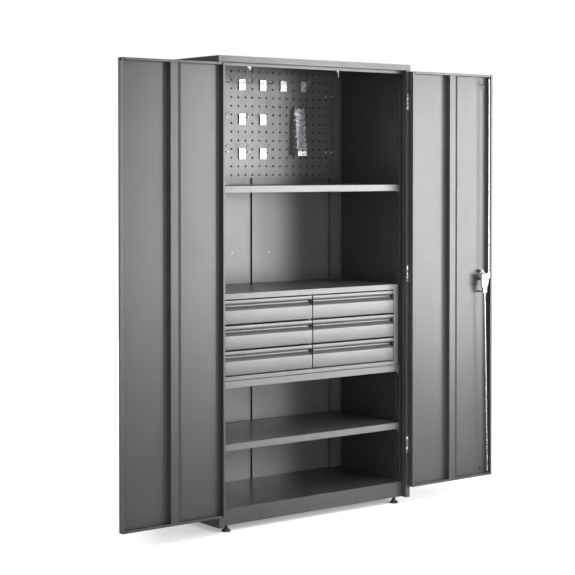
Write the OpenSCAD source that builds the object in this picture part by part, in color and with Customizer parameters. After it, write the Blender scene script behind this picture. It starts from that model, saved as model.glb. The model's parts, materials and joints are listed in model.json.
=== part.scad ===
// Two-door workshop cabinet: folded sheet carcass, inset pan doors on lift-off hinges,
// shelves on clips, perforated tool panel with hooks, a bank of six drawers and a
// rack-and-pinion rod lock. Modelled with both doors open flat beside the front.
// +X right, +Y to the back, +Z up; origin on the floor under the middle of the object.

/* [Carcass] */
// Outer width of the carcass
body_w = 1020; // [900:5:1200]
// Outer depth of the carcass
body_d = 500; // [450:5:600]
// Height of the carcass above its feet
body_h = 1900; // [1860:5:2000]
// Height of the levelling feet
foot_h = 25; // [15:1:40]
// Thickness of the sheet steel
sheet = 1.2; // [1:0.1:1.5]
// Width of each front post
post_w = 23; // [20:1:26]
// Height of the band across the top of the front
cap_h = 25; // [20:1:35]
// Height of the top of the plinth above the floor
plinth_top = 91; // [80:1:110]

/* [Doors] */
// Depth of each door pan
door_t = 27.5; // [24:0.5:28]
// Width of the lip that runs round the inside of a door
door_lip = 10; // [8:1:14]
// Gap above a door and beside its post
door_gap = 2; // [1.5:0.5:3]
// Bottom edge of the doors above the floor
door_z = 73.5; // [60:0.5:85]
// Angle of a door from its closed position
open_angle = 180; // [180]

/* [Shelves] */
// Height of the front lip of a shelf
shelf_lip = 28; // [24:1:32]
// Top of the upper shelf above the floor
upper_z = 1401; // [1330:1:1420]
// Top of the middle shelf, which carries the drawers
middle_z = 606; // [560:1:640]
// Top of the lower shelf
lower_z = 351; // [250:1:420]

/* [Drawers] */
// Height of the drawer bank
bank_h = 357; // [351:1:360]
// Vertical pitch of the drawers
drawer_pitch = 104; // [102:1:105]
// How far a drawer pulls out
drawer_travel = 330; // [200:10:350]

/* [Tool panel] */
// Distance between holes in both directions
hole_pitch = 38; // [36:1:38]
// Diameter of the holes
hole_d = 10; // [6:0.5:10]
// Number of columns of holes
hole_cols = 23; // [15:2:23]
// Number of rows of holes
hole_rows = 13; // [8:1:13]

/* [Hidden] */
$fn = 48;

GRAPHITE = [0.20, 0.20, 0.21];
SHELF_GREY = [0.24, 0.24, 0.25];
ZINC = [0.80, 0.80, 0.82];
BLACK = [0.05, 0.05, 0.05];
STEEL = [0.55, 0.56, 0.58];

half_w = body_w/2;
z_low = foot_h;
z_top = foot_h + body_h;
cap_z = z_top - cap_h;            // underside of the band across the front
post_in = half_w - post_w;        // inner edge of the front posts

// doors, as they lie when open: the hinge line is just in front of the posts
hinge_x = post_in + 5;
hinge_y = -1.5;
door_in = 2*hinge_x - (post_in - door_gap);   // hinge edge of an open door
door_out = 2*hinge_x - 2.5;                   // free edge of the open right door
door_out_l = 2*hinge_x - 6.5;                 // free edge of the open left door
door_face = 2*hinge_y;                        // y of the outer skin of an open door
door_rim = door_face - door_t;                // y of the lips of an open door
door_top = cap_z - 4.5;
hinge_zs = [258, 1011, 1762];
hinge_h = 70;
barrel_r = 4.5;
pin_r = 2.5;
notch_w = 11;

// lock, in the open right door
spindle_x = door_out - 55.5;
spindle_z = 970;
pinion_r = 10;       // pitch radius: 10 mm of rod travel for each radian
pinion_teeth = 10;
lock_y = door_face - 34.7;      // plane in which pinion, racks and rods lie
rack_t = 6;
rod_r = 3;
rod_top = 1878;
rod_low = 94;
upper_rod_x = door_out - 29.5;
lower_rod_x = door_out - 54.5;
lower_rod_end_x = door_out - 35.5;
guide_zs = [1852, 116];

// shelves and drawers
front_y = 42;                   // front plane of shelves and drawer bank
shelf_back = 474;
shelf_half = 485;
bank_half = 478;
bank_back = 468;
bank_z = middle_z;
bank_top = bank_z + bank_h;
rail_h = 23;                    // top rail of the bank
foot_rail_h = 19.5;               // bottom rail of the bank
stile_in = 451.5;
drawer_top = bank_top - rail_h - 4;      // top edge of the upper drawer fronts
front_h = drawer_pitch - 5.5;
front_out = stile_in - 3;
front_in = 2.75;
grip_y = front_y + 16;          // back of the finger channel
channel_h = 32;
channel_t = 11;
box_h = 66;
box_out = stile_in - channel_t - 0.6;
divider_half = 6;
box_in = divider_half + channel_t + 0.6;
box_back = 445;
slide_h = 30;

// uprights and tool panel
panel_y = 476.8;                // front face of the tool panel
slot_pitch = 32;
slot_h = 21;
slot_w = 7;
upright_in = 442;               // inner edge of the rear uprights
back_y = 489;                   // front face of the back panels
hole_top = 1899;
spine_half = 7.5;
fixing_x = 100;                 // wall fixing holes, either side of the middle
fixing_zs = [1098, 1898];
fixing_r = 4.5;

foot_x = 450;
foot_ys = [38, 462];
stud_r = 4;

// the origin lies under the middle of the whole object, front to back
y_mid = (body_d + lock_y - 5)/2;
module place() translate([0, -y_mid, 0]) children();

// ---- helpers ---------------------------------------------------------------

// A box given by its low and high corners
module slab(low, high) translate(low) cube(high - low);

// Mirrors its children when side is -1
module side_of(side) { if (side < 0) mirror([1, 0, 0]) children(); else children(); }

// A strip of sheet that follows points in a plane, mitred at its folds
function normal_of(a, b) = [a[1] - b[1], b[0] - a[0]]/norm(b - a);
function mitre(p, i) = let (
    before = max(i, 1), after = min(i + 1, len(p) - 1),
    n = normal_of(p[before - 1], p[before]), m = normal_of(p[after - 1], p[after]))
    (n + m)/(1 + n*m);
module strip_2d(points, t = sheet) polygon(concat(
    [for (i = [0:len(points) - 1]) points[i] + mitre(points, i)*t/2],
    [for (i = [len(points) - 1:-1:0]) points[i] - mitre(points, i)*t/2]));

// A section drawn in the YZ plane, run along X from x0 to x1
module run_x(x0, x1) translate([x0, 0, 0]) rotate([90, 0, 90]) linear_extrude(x1 - x0) children();

// A section drawn in the XY plane, run along Z from z0 to z1
module run_z(z0, z1) translate([0, 0, z0]) linear_extrude(z1 - z0) children();

// An outline drawn in the XZ plane, with its thickness running from y0 to y1
module run_y(y0, y1) translate([0, y1, 0]) rotate([90, 0, 0]) linear_extrude(y1 - y0) children();

// A bore or bar along Y
module bar_y(x, z, r, y0, y1) translate([x, y0, z]) rotate([-90, 0, 0]) cylinder(r = r, h = y1 - y0);

// ---- carcass ---------------------------------------------------------------

// Side: outer wall with a front post folded inwards and a rear flange
module side_right() color(GRAPHITE) place() difference() {
    union() {
        slab([half_w - sheet, 0, z_low], [half_w, body_d, cap_z]);
        slab([half_w - sheet, sheet, cap_z], [half_w, body_d - sheet, z_top - sheet]);
        slab([post_in, 0, z_low], [half_w, sheet, cap_z]);
        slab([post_in, 0, z_low], [post_in + sheet, 28, cap_z]);
        slab([post_in, 28 - sheet, z_low], [post_in + 9, 28, cap_z]);
        slab([half_w - 22, body_d - sheet, z_low], [half_w, body_d, cap_z - 10]);
    }
    for (z = hinge_zs)
        slab([post_in - 1, -1, z - hinge_h/2 - 2], [post_in + notch_w, 5, z + hinge_h/2 + 2]);
}
module side_left() mirror([1, 0, 0]) side_right();

module top_cap() color(GRAPHITE) place() {
    slab([-half_w, 0, z_top - sheet], [half_w, body_d, z_top]);
    slab([-half_w, 0, cap_z], [half_w, sheet, z_top - sheet]);
    for (s = [-1, 1]) side_of(s)
        slab([9, body_d - sheet, cap_z - 10], [half_w - 11, body_d, z_top - sheet]);
    slab([-post_in, sheet, cap_z], [post_in, 18, cap_z + sheet]);
}

module header_rail() color(GRAPHITE) place()
    run_x(-half_w + sheet, half_w - sheet)
        strip_2d([[30.6, cap_z - 13], [30.6, z_top - sheet - 0.6], [52, z_top - sheet - 0.6]]);

// Plinth, with a slot in its top fold for the lower lock rod and holes for the front feet
module plinth() color(GRAPHITE) place() difference() {
    run_x(-half_w + sheet, half_w - sheet)
        strip_2d([[48, plinth_top - sheet/2], [30.6, plinth_top - sheet/2],
                  [30.6, z_low + 0.6], [60, z_low + 0.6]]);
    slab([2*hinge_x - lower_rod_end_x - 8, 31.2, plinth_top - 3],
         [2*hinge_x - lower_rod_end_x + 8, 41, plinth_top + 1]);
    for (s = [-1, 1])
        translate([s*foot_x, foot_ys[0], z_low - 1]) cylinder(r = stud_r + 0.6, h = 4);
}

// Floor, from the plinth's top fold to the back wall
module floor_pan() color(GRAPHITE) place() {
    slab([-half_w + sheet, 48, plinth_top - sheet], [half_w - sheet, back_y, plinth_top]);
    slab([-half_w + sheet, back_y - sheet, plinth_top - 25],
         [half_w - sheet, back_y, plinth_top - sheet]);
}

module foot_brackets() color(GRAPHITE) place() for (s = [-1, 1], y = foot_ys) side_of(s)
    difference() {
        slab([foot_x - 34, y < 100 ? 32 : y - 34, z_low + sheet],
             [half_w - sheet, y < 100 ? y + 34 : body_d - 4, z_low + 2*sheet + 2]);
        translate([foot_x, y, z_low - 1]) cylinder(r = stud_r + 0.06, h = 10);
    }

// Back wall: two pans that meet in a groove, with a wall fixing hole in each
module back_panel(s) color(GRAPHITE) place() difference() {
    union() {
        slab([s > 0 ? spine_half : -half_w + sheet, back_y, z_low + 15],
             [s > 0 ? half_w - sheet : -spine_half, back_y + sheet, z_top - 8]);
        side_of(s) {
            slab([spine_half, back_y, z_low + 15],
                 [spine_half + sheet, body_d - 2*sheet, z_top - 8]);
            slab([half_w - 2*sheet, back_y, z_low + 15],
                 [half_w - sheet, body_d - sheet, cap_z]);
        }
    }
    for (z = fixing_zs) bar_y(s*fixing_x, z, fixing_r, back_y - 1, body_d);
    side_of(s) slab([half_w - 11, back_y - 1, cap_z - 10], [half_w, body_d + 1, z_top]);
}
module back_panel_left() back_panel(-1);
module back_panel_right() back_panel(1);

module back_spine() color(GRAPHITE) place()
    slab([-26, body_d - 2*sheet, z_low + 15], [26, body_d - sheet, z_top - 14]);

// A row of slots up a flat strip, as seen from its face
module slotted_2d(w, h, slot_at) difference() {
    square([w, h]);
    for (z = [24:slot_pitch:h - 30]) translate([slot_at - slot_w/2, z]) square([slot_w, slot_h]);
}
upright_z = plinth_top;
upright_h = cap_z - 20 - upright_z;

// Front uprights stand beside the posts, their slots facing across the cabinet
module front_uprights() color(GRAPHITE) place() for (s = [-1, 1]) side_of(s) {
    translate([post_in + sheet, 40, upright_z]) rotate([90, 0, 90])
        linear_extrude(sheet) slotted_2d(34, upright_h, 17);
    slab([post_in + 2*sheet, 40, upright_z], [half_w - sheet, 40 + sheet, upright_z + upright_h]);
    slab([post_in + 2*sheet, 74 - sheet, upright_z], [half_w - sheet, 74, upright_z + upright_h]);
}

// Rear uprights face the front, their slots near the inner edge
module rear_uprights() color(GRAPHITE) place() for (s = [-1, 1]) side_of(s) {
    translate([upright_in, panel_y + 2*sheet, upright_z]) rotate([90, 0, 0])
        linear_extrude(sheet) slotted_2d(half_w - sheet - upright_in, upright_h, 14);
    slab([upright_in, panel_y + 2*sheet, upright_z],
         [upright_in + sheet, back_y, upright_z + upright_h]);
}

// ---- tool panel ------------------------------------------------------------

panel_half = upright_in - 2;
panel_low = hole_top - hole_pitch*(hole_rows - 1) - 14;
panel_top = hole_top + 9;
function hole_x(i) = (i - (hole_cols - 1)/2)*hole_pitch;
function hole_z(j) = hole_top - j*hole_pitch;
bracket_zs = [1798, 1544];

module tool_panel() color(GRAPHITE) place() {
    run_y(panel_y, panel_y + sheet) difference() {
        translate([-panel_half, panel_low]) square([2*panel_half, panel_top - panel_low]);
        for (i = [0:hole_cols - 1], j = [0:hole_rows - 1])
            translate([hole_x(i), hole_z(j)]) circle(d = hole_d, $fn = 20);
        for (s = [-1, 1], z = bracket_zs) translate([s*(panel_half - 25), z]) circle(d = 4.4, $fn = 16);
    }
    for (z = [panel_low, panel_top - sheet])
        slab([-panel_half, panel_y + sheet, z], [panel_half, back_y - 0.5, z + sheet]);
}

// Straps behind the panel, screwed to the panel and to the uprights
module panel_screws() color(ZINC) place() for (s = [-1, 1], z = bracket_zs) side_of(s) {
    difference() {
        slab([panel_half - 38, panel_y + sheet, z - 8], [upright_in, panel_y + 3, z + 8]);
        bar_y(panel_half - 25, z, 2.2, panel_y, panel_y + 4);
    }
    bar_y(panel_half - 25, z, 2.2, panel_y, panel_y + 8);
    bar_y(panel_half - 25, z, 4.6, panel_y - 2, panel_y);
    bar_y(upright_in + 7, z, 4.6, panel_y - 0.8, panel_y + sheet);
}

// A hook: a folded plate hung in two rows of holes, with arms that turn up at the tip;
// each arm is [x, reach, tip radius, angle to the side]
arm_r = 1.8;
module arm(x, reach, tip, turn) translate([x, panel_y - 6.4, 6]) rotate([0, 0, turn]) {
    translate([0, -reach, 0]) rotate([-90, 0, 0]) cylinder(r = arm_r, h = reach, $fn = 20);
    translate([0, -reach, tip]) rotate([0, 90, 0]) rotate([0, 0, 90])
        rotate_extrude(angle = 75, $fn = 40) translate([tip, 0]) circle(r = arm_r, $fn = 16);
}
module hook(x, row, arms) translate([x, 0, hole_z(row) - hole_pitch/2]) {
    difference() {
        slab([-18, panel_y - 7, -24], [14, panel_y - 5.8, 22]);
        bar_y(3, -10, 2.4, panel_y - 8, panel_y - 5);
    }
    for (x = [-18, 12.8]) slab([x, panel_y - 5.8, -24], [x + 1.2, panel_y, 22]);
    for (a = arms) arm(a[0], a[1], a[2], a[3]);
    // tongues that pass through the panel's holes
    for (q = [-hole_pitch/2, hole_pitch/2]) {
        slab([-19.6, panel_y - 1.2, q - 1.5], [-16.8, panel_y, q + 1.5]);
        slab([-19.6, panel_y, q - 1.2], [-18.2, panel_y + 6, q + 1.2]);
        slab([12.8, panel_y - 1.2, q - 1.5], [17, panel_y, q + 1.5]);
        slab([15.6, panel_y, q - 1.2], [17, panel_y + 6, q + 1.2]);
    }
}
hook_x0 = 1.5*hole_pitch;
hook_step = 3*hole_pitch;
fork = [[-9, 50, 13, -13], [9, 50, 13, 13]];
clip = [[-8, 20, 9, -24], [8, 20, 9, 24]];
module tool_hooks() color(ZINC) place() {
    for (k = [-2:2]) hook(hook_x0 + k*hook_step, 1, k < 1 ? fork : clip);
    for (row = [1, 5, 9]) hook(hook_x0 - 3*hook_step, row, [[-6, 60, 14, 0]]);
    for (k = [-2:0]) hook(hook_x0 + k*hook_step, 5, [[-4, 44, 9, 4]]);
    for (k = [-2:0]) hook(hook_x0 + k*hook_step, 9, [[-4, 52, 18, 4]]);
}

// Rack for spanners: a back plate with two notched cheeks that splay to the bottom
rack_x = 6.5*hole_pitch;
rack_low = 1528;
rack_top = 1742;
module spanner_rack() color(ZINC) place() {
    difference() {
        slab([rack_x - 26, panel_y - 1.2, rack_low], [rack_x + 26, panel_y, rack_top]);
        for (z = [rack_low + 60, rack_top - 60]) bar_y(rack_x, z, 2.6, panel_y - 2, panel_y + 1);
    }
    for (s = [-1, 1], row = [5, 9])
        bar_y(rack_x + s*hole_pitch/2, hole_z(row), 1.6, panel_y - 1.2, panel_y + 6);
    for (x = [rack_x - 26, rack_x + 24.8]) translate([x, panel_y - 1.2, rack_low])
        rotate([90, 0, 90]) linear_extrude(1.2) difference() {
            polygon([[0, 0], [-44, 0], [-22, rack_top - rack_low], [0, rack_top - rack_low]]);
            for (k = [0:7]) translate([-46 + 2.7*k, 14 + 25*k]) rotate(-28) square([16, 6]);
        }
    slab([rack_x - 24.8, panel_y - 45, rack_low], [rack_x + 24.8, panel_y - 1.2, rack_low + 1.2]);
    slab([rack_x - 24.8, panel_y - 45, rack_low + 1.2], [rack_x + 24.8, panel_y - 43.8, rack_low + 22]);
}

// ---- shelves ---------------------------------------------------------------

// A shelf: a tray of sheet turned over, with lips that return under it
module shelf(z) color(SHELF_GREY) place() difference() {
    slab([-shelf_half, front_y, z - shelf_lip], [shelf_half, shelf_back, z]);
    slab([-shelf_half + sheet, front_y + sheet, z - shelf_lip + sheet],
         [shelf_half - sheet, shelf_back - sheet, z - sheet]);
    slab([-shelf_half + 12, front_y + 14, z - shelf_lip - 1],
         [shelf_half - 12, shelf_back - 14, z - sheet]);
}
module upper_shelf() shelf(upper_z);
module middle_shelf() shelf(middle_z);
module lower_shelf() shelf(lower_z);

// Clips hooked into the slots, under the four corners of each shelf
function slot_mid(z) = upright_z + 24 + slot_h/2
    + floor((z - 14 - upright_z - 24 - slot_h/2)/slot_pitch)*slot_pitch;
module shelf_clips() color(ZINC) place() for (zs = [upper_z, middle_z, lower_z], s = [-1, 1]) {
    z = zs - shelf_lip;
    low = min(slot_mid(zs) - 7, z - 1.6);
    side_of(s) {
        slab([post_in - 0.4, 51, low], [post_in + sheet, 63, zs - 8]);
        slab([post_in - 12, 51, z - 1.6], [post_in - 0.4, 63, z]);
        slab([post_in + sheet, 54.6, slot_mid(zs) - 6], [post_in + sheet + 6, 59.4, slot_mid(zs) + 6]);
        slab([upright_in + 8, 476.4, low], [upright_in + 20, panel_y + sheet, zs - 8]);
        slab([upright_in + 8, 462, z - 1.6], [upright_in + 20, 476.4, z]);
        slab([upright_in + 11.6, panel_y + sheet, slot_mid(zs) - 6],
             [upright_in + 16.4, panel_y + sheet + 6, slot_mid(zs) + 6]);
    }
}

// ---- drawer bank -----------------------------------------------------------

module drawer_case() color(SHELF_GREY) place() {
    difference() {
        slab([-bank_half, front_y, bank_z], [bank_half, bank_back, bank_top]);
        slab([-bank_half + sheet, front_y + sheet, bank_z + sheet],
             [bank_half - sheet, bank_back - sheet, bank_top - sheet]);
        slab([-stile_in, front_y - 1, bank_z + foot_rail_h],
             [stile_in, front_y + sheet, bank_top - rail_h]);
        // groove between the bank and the shelf that carries it
        slab([-bank_half - 1, front_y - 1, bank_z - 1], [bank_half + 1, front_y + sheet, bank_z + 3]);
    }
    // inner walls that carry the slides
    for (s = [-1, 1]) side_of(s)
        slab([stile_in, front_y + sheet, bank_z + sheet],
             [stile_in + sheet, bank_back - sheet, bank_top - sheet]);
}

module drawer_divider() color(SHELF_GREY) place() difference() {
    slab([-divider_half, grip_y + 6, bank_z + sheet], [divider_half, bank_back - sheet, bank_top - sheet]);
    slab([-divider_half + sheet, grip_y + 6 + sheet, bank_z],
         [divider_half - sheet, bank_back - 2*sheet, bank_top]);
}

function drawer_z(row) = drawer_top - row*drawer_pitch;        // top edge of a front
function slide_z(row) = drawer_z(row) - front_h + 34;

// Fixed slide channels, open towards the drawer
module channel(x, dir, z) {
    y0 = grip_y + 8;
    y1 = bank_back - 8;
    slab([min(x, x + dir*sheet), y0, z], [max(x, x + dir*sheet), y1, z + channel_h]);
    for (e = [z, z + channel_h - sheet])
        slab([min(x + dir*sheet, x + dir*channel_t), y0, e],
             [max(x + dir*sheet, x + dir*channel_t), y1, e + sheet]);
}
module slide_channels() color(ZINC) place() for (s = [-1, 1], row = [0:2]) side_of(s) {
    channel(stile_in, -1, slide_z(row));
    channel(divider_half, 1, slide_z(row));
}

// Drawer front: sheet folded into a top lip, a finger channel and a flat face
module drawer_front(col, row) {
    z = drawer_z(row);
    y = front_y + sheet/2;
    x0 = col == 0 ? -front_out : front_in;
    place() {
        color(SHELF_GREY) difference() {
            run_x(x0, x0 + front_out - front_in) strip_2d([
                [grip_y - 4, z - 0.6], [y, z - 0.6], [y, z - 14], [y + 3, z - 17],
                [grip_y - 3, z - 18], [grip_y, z - 21], [grip_y, z - 28],
                [y + 3, z - 39.4], [y, z - 42.4],
                [y, z - front_h + 0.6], [grip_y, z - front_h + 0.6]]);
        }
        // moulded end pieces that close the finger channel
        color(BLACK) for (x = [x0 + sheet, x0 + front_out - front_in - 3 - sheet])
            run_x(x, x + 3) polygon([[front_y + 4, z - 19], [grip_y - 4, z - 19.2], [grip_y - 0.7, z - 22],
                                      [grip_y - 0.7, z - 27.6], [front_y + 4, z - 38]]);
    }
}

// Drawer box: an open tray with the moving slide rails on its sides
module drawer_box(col, row) color(SHELF_GREY) place() mirror([col == 0 ? 1 : 0, 0, 0]) {
    z = drawer_z(row) - front_h + 12;
    y0 = grip_y + sheet/2;
    difference() {
        slab([box_in, y0, z], [box_out, box_back, z + box_h]);
        slab([box_in + sheet, y0 + sheet, z + sheet], [box_out - sheet, box_back - sheet, z + box_h + 1]);
    }
    for (x = [box_in - 8.5, box_out])
        slab([x, y0 + 8, slide_z(row) + sheet + 1.2], [x + 8.5, box_back - 5, slide_z(row) + slide_h - 0.4]);
}
module drawer_front_1() drawer_front(0, 0);
module drawer_front_2() drawer_front(1, 0);
module drawer_front_3() drawer_front(0, 1);
module drawer_front_4() drawer_front(1, 1);
module drawer_front_5() drawer_front(0, 2);
module drawer_front_6() drawer_front(1, 2);
module drawer_box_1() drawer_box(0, 0);
module drawer_box_2() drawer_box(1, 0);
module drawer_box_3() drawer_box(0, 1);
module drawer_box_4() drawer_box(1, 1);
module drawer_box_5() drawer_box(0, 2);
module drawer_box_6() drawer_box(1, 2);

// ---- doors -----------------------------------------------------------------

// A door pan, open, with its lips towards the front; x0 is its hinge edge
module door_pan(x0, x1) difference() {
    slab([x0, door_rim, door_z], [x1, door_face, door_top]);
    slab([x0 + sheet, door_rim + sheet, door_z + sheet], [x1 - sheet, door_face - sheet, door_top - sheet]);
    slab([x0 + door_lip, door_rim - 1, door_z + door_lip],
         [x1 - door_lip, door_rim + sheet, door_top - door_lip]);
    // relief where the lips meet at the corners
    for (x = [x0 + door_lip, x1 - door_lip - 4], z = [door_z + sheet, door_top - door_lip - 1])
        slab([x, door_rim - 1, z], [x + 4, door_rim + sheet, z + door_lip + 1 - sheet]);
}
module door_left() color(GRAPHITE) place() mirror([1, 0, 0]) door_pan(door_in, door_out_l);
module door_right() color(GRAPHITE) place() difference() {
    door_pan(door_in, door_out);
    bar_y(spindle_x, spindle_z, 7, door_face - 5, door_face + 5);
    bar_y(key_x, key_z, key_r + 0.4, door_face - 5, door_face + 5);
}

// Strip on the free edge of the left door, which closes behind the right door
module closing_strip() color(GRAPHITE) place() mirror([1, 0, 0])
    run_z(door_z + 12, door_top - 12) strip_2d([
        [door_out_l - 9, door_rim - 0.6], [door_out_l - 0.6, door_rim - 0.6],
        [door_out_l + 1, door_rim - 0.9], [2*hinge_x + 6, door_rim - 0.9]]);

// Stiffener: a hat section with one steep and one chamfered side, the same way round in both doors
hat_base = door_face - sheet - 0.6;
hat_h = 25;
module stiffener(x) run_z(door_z + door_lip + 0.5, door_top - door_lip - 0.5) strip_2d([
    [x - 18, hat_base], [x, hat_base], [x, hat_base - hat_h], [x + 33, hat_base - hat_h],
    [x + 53, hat_base - hat_h + 10], [x + 53, hat_base], [x + 67, hat_base]]);
module stiffener_left() color(GRAPHITE) place() stiffener(-757);
module stiffener_right() color(GRAPHITE) place() stiffener(719);

// Lift-off hinges: a lower half on the post with the pin, an upper half on the door
module hinge_frame_halves() color(ZINC) place() for (s = [-1, 1], z = hinge_zs) side_of(s)
    difference() {
        union() {
            translate([hinge_x, hinge_y, z - hinge_h/2]) cylinder(r = barrel_r, h = hinge_h/2 - 0.4);
            slab([post_in + sheet, hinge_y, z - hinge_h/2 + 1], [hinge_x, 4.6, z - 1.5]);
            slab([post_in + sheet, 2, z - hinge_h/2 + 1], [post_in + sheet + 1.5, 26, z - 1.5]);
        }
        translate([hinge_x, hinge_y, z - hinge_h/2 - 1]) cylinder(r = pin_r, h = hinge_h);
    }
module hinge_pins() color(STEEL) place() for (s = [-1, 1], z = hinge_zs) side_of(s)
    translate([hinge_x, hinge_y, z - hinge_h/2 + 1]) cylinder(r = pin_r, h = hinge_h - 4);
module hinge_halves() for (z = hinge_zs) difference() {
    union() {
        translate([hinge_x, hinge_y, z + 0.4]) cylinder(r = barrel_r, h = hinge_h/2 - 0.4);
        slab([hinge_x, hinge_y - barrel_r, z + 1.5], [door_in, door_face, z + hinge_h/2 - 1]);
        slab([door_in - 1.5, door_face - 24, z + 1.5], [door_in, door_face, z + hinge_h/2 - 1]);
    }
    translate([hinge_x, hinge_y, z - 1]) cylinder(r = pin_r + 0.05, h = hinge_h/2 - 0.5);
}
module hinge_halves_right() color(ZINC) place() hinge_halves();
module hinge_halves_left() mirror([1, 0, 0]) hinge_halves_right();

// ---- lock ------------------------------------------------------------------

key_x = spindle_x - 4;
key_z = spindle_z + 36;
key_r = 6.5;
case_front = lock_y - 5;             // face of the case that looks out of the door
case_back = lock_y + 5;
case_wall = 1.5;
hub_r = 5.5;
lock_skin = door_face - sheet;       // inner surface of the door's skin

// Outline of the lock case: a head round the pinion and a narrower tail
module case_2d(i = 0) translate([spindle_x, spindle_z]) polygon([
    [-19 + i, 23 - i], [19 - i, 23 - i], [19 - i, -25], [10.5 - i, -36],
    [10.5 - i, -61 + i], [-9.5 + i, -61 + i], [-9.5 + i, -42], [-19 + i, -30]]);

// Outer plate that carries the handle and the key cylinder
module lock_plate() color(BLACK) place() difference() {
    run_y(door_face, door_face + 4) hull() for (z = [spindle_z - 34, spindle_z + 58])
        translate([spindle_x, z]) circle(r = 17, $fn = 32);
    bar_y(spindle_x, spindle_z, 6.06, door_face - 1, door_face + 5);
    bar_y(key_x, key_z, key_r + 0.06, door_face - 1, door_face + 5);
}

// Case: back wall, sides and a stand to the skin; its right side is open for the upper rack
module lock_case() color(ZINC) place() difference() {
    union() {
        run_y(case_front + case_wall, case_back) case_2d();
        for (p = [[-19, 15], [11, 15], [-9.5, -60]]) slab(
            [spindle_x + p[0], case_back, spindle_z + p[1]],
            [spindle_x + p[0] + 8, lock_skin, spindle_z + p[1] + 8]);
    }
    run_y(case_front, case_back - case_wall) case_2d(case_wall);
    // the side that the upper rack's arm works through, and the rods' ways out
    slab([spindle_x + 8, case_front, spindle_z - 6],
         [spindle_x + 20, case_back - case_wall, spindle_z + 30]);
    slab([spindle_x - 6, case_front, spindle_z - 62],
         [spindle_x + 8, case_back - case_wall, spindle_z - 58]);
    bar_y(spindle_x, spindle_z, 6.06, case_back - 3, case_back + 1);
}
module lock_cover() color(ZINC) place() difference() {
    run_y(case_front, case_front + case_wall) case_2d();
    bar_y(spindle_x, spindle_z, hub_r + 0.06, case_front - 1, case_front + 2);
}

// Outer lever with its spindle: round in the plates, square in the pinion
module door_handle() color(BLACK) place() {
    bar_y(spindle_x, spindle_z, 6, case_back - 0.5, door_face + 6);
    bar_y(spindle_x, spindle_z, 13, door_face + 4.4, door_face + 13);
    translate([spindle_x - 3.5, case_front + 0.2, spindle_z - 3.5]) cube([7, 10 - 0.7, 7]);
    translate([spindle_x, door_face + 13, spindle_z]) rotate([-90, 0, 0]) cylinder(r1 = 11, r2 = 9, h = 10);
    hull() for (p = [[0, 17, 10], [-100, 19, 7]]) translate([spindle_x + p[0], door_face + p[1], spindle_z])
        rotate([-90, 0, 0]) cylinder(r = p[2], h = 7, $fn = 32);
}

// Involute teeth for the pinion, straight ones for the racks
base_r = pinion_r*cos(20);
function inv_point(t, turn) = let (r = base_r*sqrt(1 + t*t), a = t*180/PI - atan(t) + turn)
    [r*cos(a), r*sin(a)];
tip_t = 0.76;
tooth_half = 90/pinion_teeth - 1.6;          // half the tooth's angle at the pitch circle
inv_pitch = tan(20)*180/PI - 20;
module pinion_2d() {
    circle(r = 8.3, $fn = 40);
    for (k = [0:pinion_teeth - 1]) rotate((k + 0.5)*360/pinion_teeth) polygon(concat(
        [[7, -1.2]],
        [for (i = [0:5]) inv_point(tip_t*i/5, -tooth_half - inv_pitch)],
        [for (i = [5:-1:0]) let (p = inv_point(tip_t*i/5, -tooth_half - inv_pitch)) [p[0], -p[1]]],
        [[7, 1.2]]));
}
module lock_pinion() color(STEEL) place() difference() {
    union() {
        translate([spindle_x, lock_y + rack_t/2, spindle_z]) rotate([90, 0, 0])
            linear_extrude(rack_t) pinion_2d();
        bar_y(spindle_x, spindle_z, hub_r, case_front + 0.2, lock_y);
    }
    translate([spindle_x - 3.5, case_front - 1, spindle_z - 3.5]) cube([7, 12, 7]);
}

// Rack teeth on the line x = 0, pointing to -x, pitched to mesh with a gap at z = 0
tooth_pitch = 2*PI*pinion_r/pinion_teeth;
module rack_2d(z0, z1) intersection() {
    union() {
        translate([2.4, z0]) square([3.8, z1 - z0]);
        for (k = [ceil(z0/tooth_pitch):floor(z1/tooth_pitch)]) translate([0, k*tooth_pitch])
            polygon([[2.6, -tooth_pitch/4 - 0.8], [-1.1, -tooth_pitch/4 + 0.55],
                     [-1.1, tooth_pitch/4 - 0.55], [2.6, tooth_pitch/4 + 0.8]]);
    }
    translate([-2, z0]) square([9, z1 - z0]);
}
module rack(side, z0, z1) run_y(lock_y - rack_t/2, lock_y + rack_t/2)
    translate([spindle_x, spindle_z]) scale([side, 1]) translate([pinion_r, 0]) rack_2d(z0, z1);

// Upper rod: rack on the right of the pinion, an arm out of the case and a round rod
module upper_rod() color(ZINC) place() {
    rack(1, -22, 9);
    run_y(lock_y - rack_t/2, lock_y + rack_t/2) polygon([
        [spindle_x + 14, spindle_z - 4], [upper_rod_x + 5, spindle_z + 4],
        [upper_rod_x + 5, spindle_z + 31], [upper_rod_x - 5, spindle_z + 31],
        [spindle_x + 14, spindle_z + 9]]);
    translate([upper_rod_x, lock_y, spindle_z + 30]) cylinder(r = rod_r, h = rod_top - spindle_z - 30);
}

// Lower rod: rack on the left, a link past the pinion, and a round rod that leans to the edge
lean = atan((lower_rod_end_x - lower_rod_x)/(spindle_z - 30 - rod_low));
module lower_rod() color(ZINC) place() {
    rack(-1, -9, 20.5);
    run_y(lock_y - rack_t/2, lock_y + rack_t/2) polygon([
        [spindle_x - 15.6, spindle_z - 4], [spindle_x - 12.6, spindle_z - 8],
        [lower_rod_x + 4, spindle_z - 20], [lower_rod_x + 4, spindle_z - 36],
        [lower_rod_x - 4, spindle_z - 36], [lower_rod_x - 5, spindle_z - 25],
        [spindle_x - 16, spindle_z - 10]]);
    translate([lower_rod_x, lock_y, spindle_z - 30]) rotate([0, -lean, 0]) rotate([180, 0, 0])
        cylinder(r = rod_r, h = (spindle_z - 30 - rod_low)/cos(lean));
}

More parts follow.
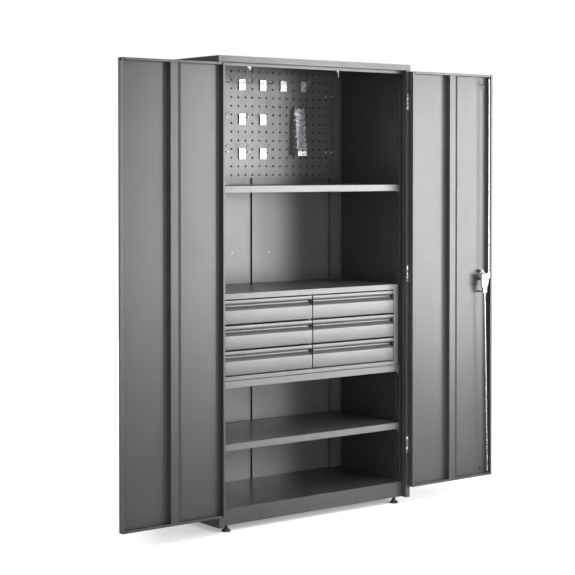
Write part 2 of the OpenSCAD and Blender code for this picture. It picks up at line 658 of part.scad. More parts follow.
// Guides: brackets from the skin with a hole that the rod runs through
module rod_guides() color(ZINC) place() for (k = [0, 1]) {
    x = k == 0 ? upper_rod_x : lower_rod_end_x - 0.7;
    z = guide_zs[k];
    difference() {
        union() {
            slab([x - 14, case_front, z - 0.9], [x + 7, lock_skin, z + 0.9]);
            slab([x - 14, lock_skin - 1.8, z - 22], [x + 7, lock_skin, z + 0.9]);
        }
        translate([x, lock_y, z - 2]) cylinder(r = rod_r + (k == 0 ? 0.5 : 1), h = 4);
    }
}

// Key cylinder in the lock plate, with a slot for the key
module key_cylinder() color(STEEL) place() difference() {
    union() {
        bar_y(key_x, key_z, key_r, lock_skin - 18, door_face + 4.3);
        bar_y(key_x, key_z, 9.5, door_face + 4.3, door_face + 7);
        bar_y(key_x, key_z, 4.6, lock_skin - 26, lock_skin - 18);
    }
    slab([key_x - 0.7, door_face - 8, key_z - 4], [key_x + 0.7, door_face + 8, key_z + 4]);
}

// ---- feet ------------------------------------------------------------------

module foot(x, y) color(BLACK) place() translate([x, y, 0]) {
    cylinder(r = 19, h = 5);
    translate([0, 0, 5]) cylinder(r1 = 18, r2 = 9, h = 9);
    translate([0, 0, 14]) cylinder(r = 8, h = foot_h - 14 - 0.4, $fn = 6);
    translate([0, 0, 14]) cylinder(r = stud_r, h = 40);
}
module foot_front_left() foot(-foot_x, foot_ys[0]);
module foot_front_right() foot(foot_x, foot_ys[0]);
module foot_rear_left() foot(-foot_x, foot_ys[1]);
module foot_rear_right() foot(foot_x, foot_ys[1]);

side_left();
side_right();
top_cap();
header_rail();
plinth();
floor_pan();
foot_brackets();
back_panel_left();
back_panel_right();
back_spine();
front_uprights();
rear_uprights();
tool_panel();
panel_screws();
tool_hooks();
spanner_rack();
upper_shelf();
middle_shelf();
lower_shelf();
shelf_clips();
drawer_case();
drawer_divider();
slide_channels();
hinge_frame_halves();
hinge_pins();
door_left();
stiffener_left();
hinge_halves_left();
closing_strip();
door_right();
stiffener_right();
hinge_halves_right();
lock_plate();
lock_case();
lock_cover();
rod_guides();
door_handle();
lock_pinion();
key_cylinder();
upper_rod();
lower_rod();
drawer_front_1();
drawer_front_2();
drawer_front_3();
drawer_front_4();
drawer_front_5();
drawer_front_6();
drawer_box_1();
drawer_box_2();
drawer_box_3();
drawer_box_4();
drawer_box_5();
drawer_box_6();
foot_front_left();
foot_front_right();
foot_rear_left();
foot_rear_right();
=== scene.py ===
"""Looks for the two-door workshop cabinet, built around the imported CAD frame."""
import json
import math

import bmesh
import bpy
from mathutils import Matrix, Vector


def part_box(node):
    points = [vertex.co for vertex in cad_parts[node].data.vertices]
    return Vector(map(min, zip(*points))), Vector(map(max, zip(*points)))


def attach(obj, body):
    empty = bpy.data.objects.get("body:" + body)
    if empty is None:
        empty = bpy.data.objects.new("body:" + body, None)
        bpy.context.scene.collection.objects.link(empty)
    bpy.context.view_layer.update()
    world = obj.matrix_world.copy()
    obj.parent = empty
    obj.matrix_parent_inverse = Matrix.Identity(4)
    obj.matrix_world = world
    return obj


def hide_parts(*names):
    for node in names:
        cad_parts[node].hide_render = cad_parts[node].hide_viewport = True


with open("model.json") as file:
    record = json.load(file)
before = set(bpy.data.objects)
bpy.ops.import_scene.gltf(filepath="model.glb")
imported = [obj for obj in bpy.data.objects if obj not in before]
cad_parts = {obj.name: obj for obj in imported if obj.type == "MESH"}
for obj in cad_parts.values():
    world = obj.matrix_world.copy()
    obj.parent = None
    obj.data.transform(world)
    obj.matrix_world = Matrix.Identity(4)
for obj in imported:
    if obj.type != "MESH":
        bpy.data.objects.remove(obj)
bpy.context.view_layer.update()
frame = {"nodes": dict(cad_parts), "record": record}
MM = 0.001


# ---- camera and stage ------------------------------------------------------

camera_data = bpy.data.cameras.new("camera")
camera_data.sensor_width = 36
camera_data.lens = 98.37
camera_data.shift_y = -0.1499
camera_data.clip_end = 100
camera = bpy.data.objects.new("camera", camera_data)
camera.location = (-4.0805, -5.4033, 1.4742)
camera.rotation_euler = (math.radians(88.782), 0, math.radians(-37.11))
bpy.context.scene.collection.objects.link(camera)
bpy.context.scene.camera = camera


# ---- materials -------------------------------------------------------------

class Nodes:
    """Builds a Principled material from object-space procedural nodes."""

    def __init__(self, name, metallic=0.0, specular=0.5):
        self.material = bpy.data.materials.new(name)
        self.material.use_nodes = True
        self.tree = self.material.node_tree
        self.shader = self.tree.nodes["Principled BSDF"]
        self.shader.inputs["Metallic"].default_value = metallic
        self.shader.inputs["Specular IOR Level"].default_value = specular
        self.coordinates = self.tree.nodes.new("ShaderNodeTexCoord").outputs["Object"]

    def link(self, source, target):
        self.tree.links.new(source, target)

    def stretched(self, scale):
        """The coordinates scaled by axis, for marks that run one way."""
        mapping = self.tree.nodes.new("ShaderNodeMapping")
        mapping.inputs["Scale"].default_value = scale
        self.link(self.coordinates, mapping.inputs["Vector"])
        return mapping.outputs["Vector"]

    def noise(self, scale, detail=3.0, roughness=0.5, vector=None):
        noise = self.tree.nodes.new("ShaderNodeTexNoise")
        noise.inputs["Scale"].default_value = scale
        noise.inputs["Detail"].default_value = detail
        noise.inputs["Roughness"].default_value = roughness
        self.link(vector or self.coordinates, noise.inputs["Vector"])
        return noise.outputs["Fac"]

    def cells(self, scale):
        cells = self.tree.nodes.new("ShaderNodeTexVoronoi")
        cells.inputs["Scale"].default_value = scale
        self.link(self.coordinates, cells.inputs["Vector"])
        return cells

    def between(self, value, low, high, low_in=0.3, high_in=0.7):
        """Spreads a value from the range low_in to high_in over low to high."""
        spread = self.tree.nodes.new("ShaderNodeMapRange")
        for socket, number in (("From Min", low_in), ("From Max", high_in),
                               ("To Min", low), ("To Max", high)):
            spread.inputs[socket].default_value = number
        self.link(value, spread.inputs["Value"])
        return spread.outputs["Result"]

    def mix(self, factor, first, second):
        """Blends two colours, each a tuple or a socket."""
        mix = self.tree.nodes.new("ShaderNodeMix")
        mix.data_type = "RGBA"
        self.link(factor, mix.inputs["Factor"])
        for socket, colour in ((mix.inputs["A"], first), (mix.inputs["B"], second)):
            if isinstance(colour, tuple):
                socket.default_value = (*colour, 1)
            else:
                self.link(colour, socket)
        return mix.outputs["Result"]

    def inside(self, low, high):
        """One inside a box given by two corners, and nought outside it."""
        axes = self.tree.nodes.new("ShaderNodeSeparateXYZ")
        self.link(self.coordinates, axes.inputs["Vector"])
        result = None
        for axis in range(3):
            within = self.tree.nodes.new("ShaderNodeMath")
            within.operation = "COMPARE"
            self.link(axes.outputs[axis], within.inputs[0])
            within.inputs[1].default_value = (low[axis] + high[axis]) / 2
            within.inputs[2].default_value = (high[axis] - low[axis]) / 2
            if result:
                both = self.tree.nodes.new("ShaderNodeMath")
                both.operation = "MULTIPLY"
                self.link(result, both.inputs[0])
                self.link(within.outputs[0], both.inputs[1])
                result = both.outputs[0]
            else:
                result = within.outputs[0]
        return result

    def colour(self, source):
        self.link(source, self.shader.inputs["Base Color"])

    def rough(self, source):
        self.link(source, self.shader.inputs["Roughness"])

    def bump(self, *layers):
        """Adds bump layers, each (height source, strength, depth in metres)."""
        normal = None
        for height, strength, depth in layers:
            bump = self.tree.nodes.new("ShaderNodeBump")
            bump.inputs["Strength"].default_value = strength
            bump.inputs["Distance"].default_value = depth
            self.link(height, bump.inputs["Height"])
            if normal:
                self.link(normal, bump.inputs["Normal"])
            normal = bump.outputs["Normal"]
        self.link(normal, self.shader.inputs["Normal"])


def tint(colour, factor):
    return tuple(min(1.0, c * factor) for c in colour)


def powder_coat(name, colour, rough=0.31, spread=0.03, painted_shade_box=None):
    """Semi-gloss powder coat: orange peel, faint cloudiness and rubbed spots.

    Within the optional box the colour is darkened as painted shade, so that holes in a part that covers it
    look black.
    """
    m = Nodes(name, metallic=0.6)
    cloud = m.noise(2.4, 4)
    rubbed = m.between(m.noise(46, 8, 0.72), 0, 1, 0.62, 0.80)
    base = m.mix(m.between(cloud, 0, 1), tint(colour, 0.93), tint(colour, 1.07))
    base = m.mix(rubbed, base, tint(colour, 1.35))
    # painted shade: inside the box the colour is darkened to 0.12 of itself
    m.colour(m.mix(m.inside(*painted_shade_box), base, tint(colour, 0.12)) if painted_shade_box else base)
    m.rough(m.between(m.noise(17, 6, 0.6), rough - spread, rough + spread))
    m.bump((m.noise(620, 2, 0.4), 0.16, 0.0004), (m.noise(2.1, 2), 0.10, 0.004))
    return m.material


def zinc_plate(name, colour=(0.74, 0.75, 0.77), rough=0.27):
    """Bright zinc: fine crystal mottling and short rolling marks."""
    m = Nodes(name, metallic=0.85)
    crystals = m.cells(420)
    base = m.mix(m.between(crystals.outputs["Distance"], 0, 1, 0.0, 0.8), tint(colour, 0.94), colour)
    m.colour(m.mix(m.between(m.noise(38, 6), 0, 1, 0.55, 0.75), base, tint(colour, 0.84)))
    m.rough(m.between(m.noise(120, 4), rough - 0.05, rough + 0.07))
    m.bump((m.noise(60, 4, vector=m.stretched((1, 1, 22))), 0.06, 0.0003))
    return m.material


def turned_steel(name, colour=(0.55, 0.55, 0.57), rough=0.3):
    """Plain machined steel with turning marks and a little oil stain."""
    m = Nodes(name, metallic=1.0)
    m.colour(m.mix(m.between(m.noise(55, 5), 0, 1), tint(colour, 0.8), tint(colour, 1.1)))
    m.rough(m.between(m.noise(240, 3), rough - 0.08, rough + 0.1))
    m.bump((m.noise(500, 2, vector=m.stretched((1, 1, 6))), 0.1, 0.0002))
    return m.material


def moulded(name, colour, rough=0.42):
    """Moulded plastic: fine spark-eroded grain and slightly shinier touched areas."""
    m = Nodes(name, specular=0.45)
    m.colour(m.mix(m.between(m.noise(30, 5), 0, 1), tint(colour, 0.8), tint(colour, 1.3)))
    m.rough(m.between(m.noise(22, 4), rough - 0.08, rough + 0.08))
    m.bump((m.noise(1400, 2), 0.22, 0.0003))
    return m.material


GRAPHITE = (0.105, 0.105, 0.108)
# painted shade: the back wall's colour is darkened in a thin box at its face behind the tool panel, so
# that the panel's holes look black
WALL_SKIN = 0.5 * MM        # how far the darkened box reaches to each side of the wall's face
panel_low, panel_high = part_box("tool_panel")
wall_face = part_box("back_panel_left")[0][1]
painted_shade_behind_panel = ((panel_low[0], wall_face - WALL_SKIN, panel_low[2]),
                (panel_high[0], wall_face + WALL_SKIN, panel_high[2]))
MATERIALS = {
    "carcass_paint": powder_coat("carcass_paint", GRAPHITE),
    "back_paint_with_painted_shade": powder_coat("back_paint_with_painted_shade", GRAPHITE, painted_shade_box=painted_shade_behind_panel),
    "shelf_paint": powder_coat("shelf_paint", tint(GRAPHITE, 1.5), 0.36),
    "zinc": zinc_plate("zinc"),
    "steel": turned_steel("steel"),
    "black_plastic": moulded("black_plastic", (0.018, 0.018, 0.019)),
}

SLOT_OF = {part["node"]: part["material_slot"] for part in frame["record"]["subparts"]}


def set_material(obj, slot):
    obj.data.materials.clear()
    obj.data.materials.append(MATERIALS[slot])


WELD_DISTANCE = 0.02 * MM
BEVEL_ANGLE = math.radians(35)


def soften(obj, width, weld=False):
    """Rounds an object's edges and shades it smoothly between them."""
    if weld:
        merge = obj.modifiers.new("weld", "WELD")
        merge.merge_threshold = WELD_DISTANCE
    bevel = obj.modifiers.new("edges", "BEVEL")
    bevel.width = width
    bevel.segments = 2
    bevel.limit_method = "ANGLE"
    bevel.angle_limit = BEVEL_ANGLE
    bevel.harden_normals = True


# edge radii of the sheet parts, in millimetres
EDGE = {
    "side_left": 0.9, "side_right": 0.9, "top_cap": 0.9, "header_rail": 0.5, "plinth": 0.5,
    "upper_shelf": 0.9, "middle_shelf": 0.9, "lower_shelf": 0.9, "drawer_case": 0.9,
    "door_left": 0.9, "door_right": 0.9, "stiffener_left": 0.55, "stiffener_right": 0.55,
    "closing_strip": 0.4, "back_panel_left": 0.5, "back_panel_right": 0.5, "lock_plate": 0.9,
    "lock_case": 0.4, "lock_cover": 0.4, "rod_guides": 0.4, "spanner_rack": 0.4, "tool_hooks": 0.3,
}
# nodes whose finish differs from their slot's; the back wall's finish carries painted shade behind the
# tool panel
REPAINTED = {"rod_guides": "carcass_paint", "back_panel_left": "back_paint_with_painted_shade",
             "back_panel_right": "back_paint_with_painted_shade", "back_spine": "back_paint_with_painted_shade"}
for name, node in frame["nodes"].items():
    set_material(node, REPAINTED.get(name, SLOT_OF[name]))
    if name in EDGE:
        soften(node, EDGE[name] * MM, weld=True)


# ---- mesh tools ------------------------------------------------------------

def add_piece(name, bm, slot, body, replaces=(), bevel=0.0, smooth=45):
    """Turns a bmesh into a piece that rides on a body."""
    bmesh.ops.remove_doubles(bm, verts=bm.verts, dist=1e-6)
    bmesh.ops.recalc_face_normals(bm, faces=bm.faces)
    for face in bm.faces:
        face.smooth = True
    for edge in bm.edges:
        if len(edge.link_faces) == 2 and edge.calc_face_angle(0) > math.radians(smooth):
            edge.smooth = False
    mesh = bpy.data.meshes.new(name)
    bm.to_mesh(mesh)
    bm.free()
    obj = bpy.data.objects.new(name, mesh)
    bpy.context.scene.collection.objects.link(obj)
    set_material(obj, slot)
    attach(obj, body)
    if replaces:
        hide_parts(*replaces)
    if bevel:
        soften(obj, bevel)
    return obj


def lathe(bm, profile, place=Matrix.Identity(4), around=32):
    """Revolves (radius, height) points round the local Z axis."""
    rings = []
    for radius, height in profile:
        angles = [2 * math.pi * k / around for k in range(1 if radius == 0 else around)]
        rings.append([bm.verts.new(place @ Vector((radius * math.cos(a), radius * math.sin(a), height)))
                      for a in angles])
    for low, high in zip(rings, rings[1:]):
        for k in range(around):
            corners = [low[k % len(low)], low[(k + 1) % len(low)],
                       high[(k + 1) % len(high)], high[k % len(high)]]
            corners = list(dict.fromkeys(corners))
            if len(corners) > 2:
                bm.faces.new(corners)


def prism(bm, outline, low, high, to_world=lambda u, v, w: (u, v, w)):
    """Extrudes a flat outline from low to high; to_world places (u, v, w)."""
    bottom = [bm.verts.new(to_world(u, v, low)) for u, v in outline]
    top = [bm.verts.new(to_world(u, v, high)) for u, v in outline]
    count = len(outline)
    for k in range(count):
        bm.faces.new((bottom[k], bottom[(k + 1) % count], top[(k + 1) % count], top[k]))
    bm.faces.new(bottom)
    bm.faces.new(top[::-1])


def sweep(bm, path, radii, flat, around):
    """A tube along a path, with its own radius at each point, squashed across by flat."""
    up = Vector((0, 0, 1))
    rings = []
    for k, point in enumerate(path):
        along = (path[min(k + 1, len(path) - 1)] - path[max(k - 1, 0)]).normalized()
        across = along.cross(up).normalized()
        over = across.cross(along)
        rings.append([bm.verts.new(point + radii[k] * (flat * math.cos(a) * across + math.sin(a) * over))
                      for a in (2 * math.pi * j / around for j in range(around))])
    for low, high in zip(rings, rings[1:]):
        for j in range(around):
            bm.faces.new((low[j], low[(j + 1) % around], high[(j + 1) % around], high[j]))
    bm.faces.new(rings[0])
    bm.faces.new(rings[-1][::-1])


def rounded(points, radius, steps=4):
    """A polyline with its corners turned into arcs."""
    result = [Vector(points[0])]
    for before, here, after in zip(points, points[1:], points[2:]):
        before, here, after = Vector(before), Vector(here), Vector(after)
        a, b = (before - here).normalized(), (after - here).normalized()
        cut = min(radius, 0.45 * (before - here).length, 0.45 * (after - here).length)
        start, end = here + a * cut, here + b * cut
        for k in range(steps + 1):
            t = k / steps
            result.append((1 - t) ** 2 * start + 2 * t * (1 - t) * here + t ** 2 * end)
    result.append(Vector(points[-1]))
    return result


def strip_outline(line, thickness):
    """The closed outline of a sheet whose middle follows a line."""
    sides = ([], [])
    for k, point in enumerate(line):
        along = (line[min(k + 1, len(line) - 1)] - line[max(k - 1, 0)]).normalized()
        normal = Vector((-along.y, along.x)) * thickness / 2
        sides[0].append(point + normal)
        sides[1].append(point - normal)
    return sides[0] + sides[1][::-1]


def facing(axis, at):
    """A frame at a point whose local Z looks along an axis."""
    return Matrix.Translation(at) @ Vector(axis).to_track_quat("Z", "Y").to_matrix().to_4x4()


def pan_head(bm, at, axis, radius, height):
    """A domed screw head with a round recess in its top."""
    dome = [(0, 0.35 * height), (0.30 * radius, 0.35 * height), (0.42 * radius, height)]
    dome += [(radius * math.cos(t), 0.25 * height + 0.72 * height * math.sin(t))
             for t in (1.05, 0.7, 0.35, 0.0)]
    dome += [(radius, 0)]
    lathe(bm, dome, facing(axis, at), 24)


# ---- drawer fronts ---------------------------------------------------------

FRONT_SHEET = 1.2       # thickness of a front, in millimetres
END_WIDTH = 3           # of the black pieces that close the finger channel


def build_drawer_front(k):
    """Folded front with rounded bends, side returns, and black ends in the finger channel."""
    low, high = (Vector(corner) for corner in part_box(f"drawer_front_{k}"))
    height = (high.z - low.z) / MM
    to_world = lambda u, v, w: (w, low.y + u * MM, high.z + v * MM)
    line = rounded([(12, -0.6), (0.6, -0.6), (0.6, -14), (3.6, -17), (13, -18), (16, -21), (16, -28),
                    (3.6, -39.4), (0.6, -42.4), (0.6, -height + 0.6), (16, -height + 0.6)], 2.0)
    bm = bmesh.new()
    prism(bm, strip_outline(line, FRONT_SHEET), low.x, high.x, to_world)
    for x in (low.x, high.x - FRONT_SHEET * MM):
        for v0, v1 in ((-13.2, -1.4), (-height + 1.4, -43.2)):
            prism(bm, [(1.3, v0), (11, v0), (11, v1), (1.3, v1)], x, x + FRONT_SHEET * MM, to_world)
    add_piece(f"front_{k}", bm, "shelf_paint", f"drawer_{k}", [f"drawer_front_{k}"], smooth=50)
    bm = bmesh.new()
    end = [(3.4, -18.9), (12, -19.4), (15.2, -22), (15.2, -27.6), (3.4, -38.4)]
    for x in (low.x + FRONT_SHEET * MM, high.x - (FRONT_SHEET + END_WIDTH) * MM):
        prism(bm, end, x, x + END_WIDTH * MM, to_world)
    add_piece(f"front_{k}_ends", bm, "black_plastic", f"drawer_{k}", bevel=0.0004)


for number in range(1, 7):
    build_drawer_front(number)


# ---- feet ------------------------------------------------------------------

THREAD_TURNS = 25
THREAD_PITCH = 1.25


def build_foot(name):
    """Ribbed pad, hexagon nut and threaded stud."""
    low, high = (Vector(corner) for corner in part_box(name))
    at = Matrix.Translation(((low.x + high.x) / 2, (low.y + high.y) / 2, low.z)) @ Matrix.Scale(MM, 4)
    pad = bmesh.new()
    lathe(pad, [(0, 0), (18, 0), (18.8, 0.8), (18.8, 3.6), (18.1, 4.6), (17.2, 4.9), (16.6, 6.2),
                (12.6, 9.2), (10.3, 12.2), (9.4, 13.2), (8.6, 14.0), (0, 14.0)], at, 48)
    add_piece(f"{name}_pad", pad, "black_plastic", name, [name], smooth=60)
    nut = bmesh.new()
    hexagon = [(8 * math.cos(a), 8 * math.sin(a)) for a in (math.pi * k / 3 for k in range(6))]
    prism(nut, hexagon, 14.1, 20.5, lambda u, v, w: at @ Vector((u, v, w)))
    lathe(nut, [(0, 20.5), (7.6, 20.5), (8.0, 21.0), (8.0, 22.3), (7.6, 22.8), (0, 22.8)], at, 32)
    add_piece(f"{name}_nut", nut, "black_plastic", name, bevel=0.0005)
    stud = bmesh.new()
    thread = [(0, 22.8)]
    for k in range(THREAD_TURNS):
        thread += [(3.45, 22.9 + THREAD_PITCH * k), (3.95, 23.5 + THREAD_PITCH * k)]
    lathe(stud, thread + [(3.2, 53.9), (0, 53.9)], at, 20)
    add_piece(f"{name}_stud", stud, "steel", name, smooth=70)


for name in ("foot_front_left", "foot_front_right", "foot_rear_left", "foot_rear_right"):
    build_foot(name)


# ---- lock ------------------------------------------------------------------

plate_low, plate_high = (Vector(corner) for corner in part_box("lock_plate"))
SPINDLE_UP = 51 * MM        # from the plate's lower end
spindle = Vector(((plate_low.x + plate_high.x) / 2, plate_low.y, plate_low.z + SPINDLE_UP))
LEVER_STEPS = 28


def build_handle():
    """Lever on a stepped collar, with its spindle through the case."""
    cover_low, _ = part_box("lock_cover")
    bm = bmesh.new()
    lathe(bm, [(0, 4.4), (12.4, 4.4), (13, 5.0), (13, 8.6), (12.2, 9.6), (11.6, 9.8), (11.6, 10.6),
               (12.0, 11.2), (11.4, 13.2), (10.2, 15.4), (9.4, 20), (9.2, 23.2), (8.4, 24.6), (0, 24.9)],
          facing((0, 1, 0), spindle) @ Matrix.Scale(MM, 4), 40)
    path, radii = [], []
    for k in range(LEVER_STEPS + 1):
        t = k / LEVER_STEPS
        path.append(spindle + Vector((6 - 112 * t, 19.6 + 2.6 * math.sin(math.pi * t), -2.5 * t * t)) * MM)
        swell = 8.6 - 2.2 * t + 1.1 * math.sin(2.6 * math.pi * t) * (1 - t)
        end = min(1.0, math.sqrt(max(0.02, 1 - ((t - 0.5) / 0.5) ** 8)))
        radii.append(swell * end * MM)
    sweep(bm, path, radii, flat=0.42, around=28)
    add_piece("lever", bm, "black_plastic", "handle", smooth=60)
    bm = bmesh.new()
    lathe(bm, [(0, -34), (5.9, -34), (5.9, 4.4), (0, 4.4)],
          facing((0, 1, 0), spindle) @ Matrix.Scale(MM, 4), 32)
    lathe(bm, [(0, 0.6), (3.2, 0.6), (4.4, 0.5), (4.8, 0.1), (4.8, -0.4), (0, -0.4)],
          facing((0, -1, 0), Vector((spindle.x, cover_low[1], spindle.z))) @ Matrix.Scale(MM, 4), 32)
    add_piece("lever_spindle", bm, "steel", "handle", ["door_handle"], smooth=50)


def build_key_face():
    """Rim and plug of the key cylinder, with its keyway."""
    low, high = (Vector(corner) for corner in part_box("key_cylinder"))
    at = Vector(((low.x + high.x) / 2, high.y, (low.z + high.z) / 2))
    bm = bmesh.new()
    lathe(bm, [(6.0, 0.0), (6.2, 0.5), (8.2, 0.7), (9.2, 0.3), (9.6, -0.5), (9.6, -2.6), (6.0, -2.6)],
          facing((0, 1, 0), at) @ Matrix.Scale(MM, 4), 40)
    for side in (-1, 1):
        half = [(side * 0.7, -5.4), (side * 0.7, 5.4)]
        half += [(side * 5.6 * math.cos(a), 5.6 * math.sin(a))
                 for a in (math.radians(74 - 148 * k / 16) for k in range(17))]
        prism(bm, half, 0.0, 0.35, lambda u, v, w: at + Vector((u, w, v)) * MM)
    add_piece("key_face", bm, "steel", "key_cylinder", smooth=40)


def build_lock_screws():
    """Screws in the outer plate and the cover, and the ear on top of the case."""
    bm = bmesh.new()
    for height in (-42, 66):
        at = Vector((spindle.x, plate_high.y, spindle.z + height * MM))
        pan_head(bm, at, (0, 1, 0), 3.4 * MM, 1.6 * MM)
    cover = Vector(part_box("lock_cover")[0]).y
    for x, z in ((-13.5, 17), (13.5, 17), (0.5, -54), (13.5, -20)):
        at = Vector((spindle.x + x * MM, cover, spindle.z + z * MM))
        pan_head(bm, at, (0, -1, 0), 2.9 * MM, 1.7 * MM)
    ear = [(-9, 21), (-1, 21), (0.5, 26), (-1.8, 30.5), (-5, 32), (-8.2, 30.5), (-10.5, 26)]
    prism(bm, ear, cover + 0.1 * MM, cover + 1.5 * MM,
          lambda u, v, w: (spindle.x + u * MM, w, spindle.z + v * MM))
    at = Vector((spindle.x - 5 * MM, cover, spindle.z + 26 * MM))
    pan_head(bm, at, (0, -1, 0), 4.4 * MM, 3.0 * MM)
    add_piece("lock_screws", bm, "zinc", "door_right", smooth=50)


build_handle()
build_key_face()
build_lock_screws()


# ---- hinges, screws and rivets --------------------------------------------

# millimetres
HINGE_Z = (258, 1011, 1762)
POST_EDGE = 489.0       # inside face of the post's wall
DOOR_EDGE = 498.4       # hinge edge of an open door
PIN_IN = 2.5            # from the pins' outer side to their axis
LEAF_SHEET = 1.4


def leaf(bm, side, x, y, z0, z1, to_door):
    """One hinge leaf: a bent strip from the barrel to its post or door."""
    if to_door:
        line = [(x + 0.5, y - 3.9), (x + 3.6, y - 3.9), (DOOR_EDGE, y - 3.9), (DOOR_EDGE, y - 22)]
    else:
        line = [(x - 0.5, y + 3.9), (x - 2, y + 4.6), (POST_EDGE, y + 4.6), (POST_EDGE, y + 27)]
    outline = strip_outline(rounded(line, 1.6), LEAF_SHEET)
    prism(bm, [(p.x, p.y) for p in outline], z0, z1, lambda u, v, w: (side * u * MM, v * MM, w * MM))


def build_hinges():
    """Bright barrels on dark leaves, three to a door."""
    pins_low, pins_high = (Vector(corner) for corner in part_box("hinge_pins"))
    x = (pins_high.x - pins_low.x) / 2 / MM - PIN_IN
    y = (pins_low.y + pins_high.y) / 2 / MM
    # (radius, height) of the half that stays on the post, and of the half on the door
    fixed_profile = [(0, -36.6), (2.4, -36.4), (3.9, -35.6), (4.5, -34.6), (4.5, -2.2), (4.2, -1.9),
                     (4.2, -1.5), (4.6, -1.2), (4.6, -0.2), (0, -0.2)]
    door_profile = [(0, 0.1), (4.6, 0.1), (4.6, 1.0), (4.2, 1.3), (4.2, 1.7), (4.5, 2.0), (4.5, 34.6),
                    (3.9, 35.6), (2.4, 36.4), (0, 36.6)]
    fixed_barrels, fixed_leaves = bmesh.new(), bmesh.new()
    for side in (-1, 1):
        barrels, leaves = bmesh.new(), bmesh.new()
        for z in HINGE_Z:
            at = Matrix.Translation((side * x * MM, y * MM, z * MM)) @ Matrix.Scale(MM, 4)
            lathe(fixed_barrels, fixed_profile, at, 28)
            lathe(barrels, door_profile, at, 28)
            leaf(fixed_leaves, side, x, y, z - 34, z - 1.5, False)
            leaf(leaves, side, x, y, z + 1.5, z + 34, True)
        name = "left" if side < 0 else "right"
        add_piece(f"hinge_barrels_{name}", barrels, "zinc", f"door_{name}",
                  [f"hinge_halves_{name}"], smooth=50)
        add_piece(f"hinge_leaves_{name}", leaves, "carcass_paint", f"door_{name}", smooth=40)
    add_piece("hinge_barrels_frame", fixed_barrels, "zinc", "cabinet",
              ["hinge_frame_halves", "hinge_pins"], smooth=50)
    add_piece("hinge_leaves_frame", fixed_leaves, "carcass_paint", "cabinet", smooth=40)


build_hinges()


PANEL_SCREW_Z = (1.798, 1.544)
PANEL_SCREW_X, STRAP_SCREW_X = 0.415, 0.449


def build_panel_screws():
    """Heads of the screws that hold the tool panel and its straps."""
    bm = bmesh.new()
    panel = Vector(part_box("tool_panel")[0])
    for side in (-1, 1):
        for z in PANEL_SCREW_Z:
            at = Vector((side * PANEL_SCREW_X, panel.y - 1.2 * MM, z))
            pan_head(bm, at, (0, -1, 0), 4.9 * MM, 2.6 * MM)
            at = Vector((side * STRAP_SCREW_X, panel.y - 0.4 * MM, z))
            pan_head(bm, at, (0, -1, 0), 4.9 * MM, 2.4 * MM)
    add_piece("panel_screw_heads", bm, "zinc", "cabinet", smooth=50)


RIVET_ROWS, RIVET_LOW, RIVET_PITCH = 10, 0.10, 0.195


def build_rivets():
    """Blind rivets down the spine and the side flanges of the back."""
    bm = bmesh.new()
    spine, side = Vector(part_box("back_spine")[1]), Vector(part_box("side_right")[1])
    columns = ((-18 * MM, spine.y), (18 * MM, spine.y),
               (-side.x + 11 * MM, side.y), (side.x - 11 * MM, side.y))
    head = [(4.2, 0), (4.1, 0.4), (3.2, 1.0), (1.7, 1.3), (1.3, 0.7), (0, 0.6)]
    for k in range(RIVET_ROWS):
        z = RIVET_LOW + k * RIVET_PITCH
        for x, y in columns:
            lathe(bm, head, facing((0, 1, 0), Vector((x, y, z))) @ Matrix.Scale(MM, 4), 20)
    add_piece("back_rivets", bm, "carcass_paint", "cabinet", smooth=60)


build_panel_screws()
build_rivets()


# ---- floor and light -------------------------------------------------------

def stage_material():
    m = Nodes("floor", specular=0.2)
    m.shader.inputs["Emission Color"].default_value = (1, 1, 1, 1)
    m.shader.inputs["Emission Strength"].default_value = 0.25
    m.colour(m.mix(m.noise(3, 3), (0.90, 0.90, 0.90), (0.92, 0.92, 0.92)))
    m.rough(m.between(m.noise(40, 4), 0.5, 0.6))
    return m.material


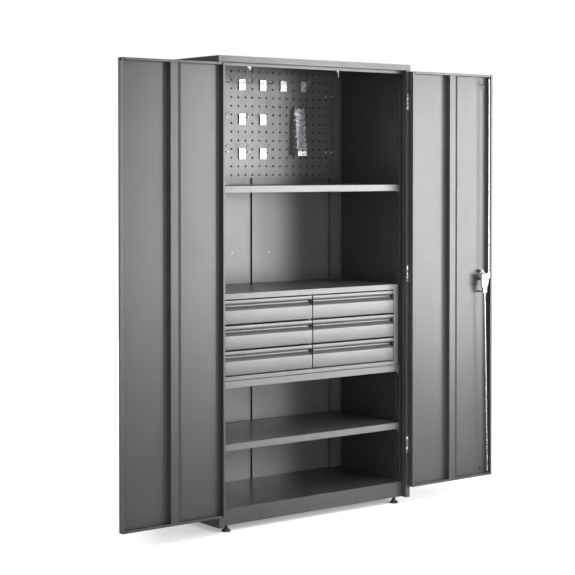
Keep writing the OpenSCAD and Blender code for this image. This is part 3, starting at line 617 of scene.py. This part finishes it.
def build_floor():
    mesh = bpy.data.meshes.new("floor")
    bm = bmesh.new()
    bmesh.ops.create_grid(bm, x_segments=8, y_segments=8, size=40)
    bm.to_mesh(mesh)
    bm.free()
    floor = bpy.data.objects.new("floor", mesh)
    bpy.context.scene.collection.objects.link(floor)
    mesh.materials.append(stage_material())
    floor.visible_glossy = False


def area_light(name, location, target, size, power, spread=180):
    """A rectangular light that looks at a target; a smaller spread narrows its beam."""
    data = bpy.data.lights.new(name, "AREA")
    data.shape = "RECTANGLE"
    data.size, data.size_y = size
    data.energy = power
    data.spread = math.radians(spread)
    light = bpy.data.objects.new(name, data)
    light.location = location
    light.rotation_euler = (Vector(target) - Vector(location)).to_track_quat("-Z", "Y").to_euler()
    bpy.context.scene.collection.objects.link(light)


# key and right shine along the photograph's shadows; inside reaches the back of the bays
build_floor()
area_light("key", (2.9, -4.6, 1.3), (1.0, 0, 0.7), (1.2, 2.6), 16, spread=60)
area_light("right", (4.9, -4.0, 1.3), (0.3, 0, 0.65), (2.2, 2.6), 143)
area_light("fill", (0.6, -6.8, 0.8), (0.2, 0.4, 0.8), (2.6, 1.5), 60)
area_light("inside", (0.3, -5.0, 0.95), (0.3, 0.4, 0.95), (0.4, 2.1), 4.2, spread=26)
area_light("top", (-0.2, -1.6, 4.6), (0, -0.2, 0), (4.2, 3.2), 85)
area_light("rear", (3.4, 5.6, 1.7), (0, 0, 0.95), (2.4, 3.0), 110)

# the surroundings: white to the camera, dimmer in reflections, as in a studio
world = bpy.data.worlds.new("world")
world.use_nodes = True
paths = world.node_tree.nodes.new("ShaderNodeLightPath")
levels = []
for ray, seen, otherwise in (("Is Glossy Ray", 0.08, 1.06), ("Is Camera Ray", 1.0, None)):
    level = world.node_tree.nodes.new("ShaderNodeMix")
    world.node_tree.links.new(paths.outputs[ray], level.inputs["Factor"])
    level.inputs["B"].default_value = seen
    if otherwise is None:
        world.node_tree.links.new(levels[-1].outputs["Result"], level.inputs["A"])
    else:
        level.inputs["A"].default_value = otherwise
    levels.append(level)
background = world.node_tree.nodes["Background"]
background.inputs["Color"].default_value = (1, 1, 1, 1)
world.node_tree.links.new(levels[-1].outputs["Result"], background.inputs["Strength"])
bpy.context.scene.world = world
bpy.context.scene.view_settings.view_transform = "Standard"
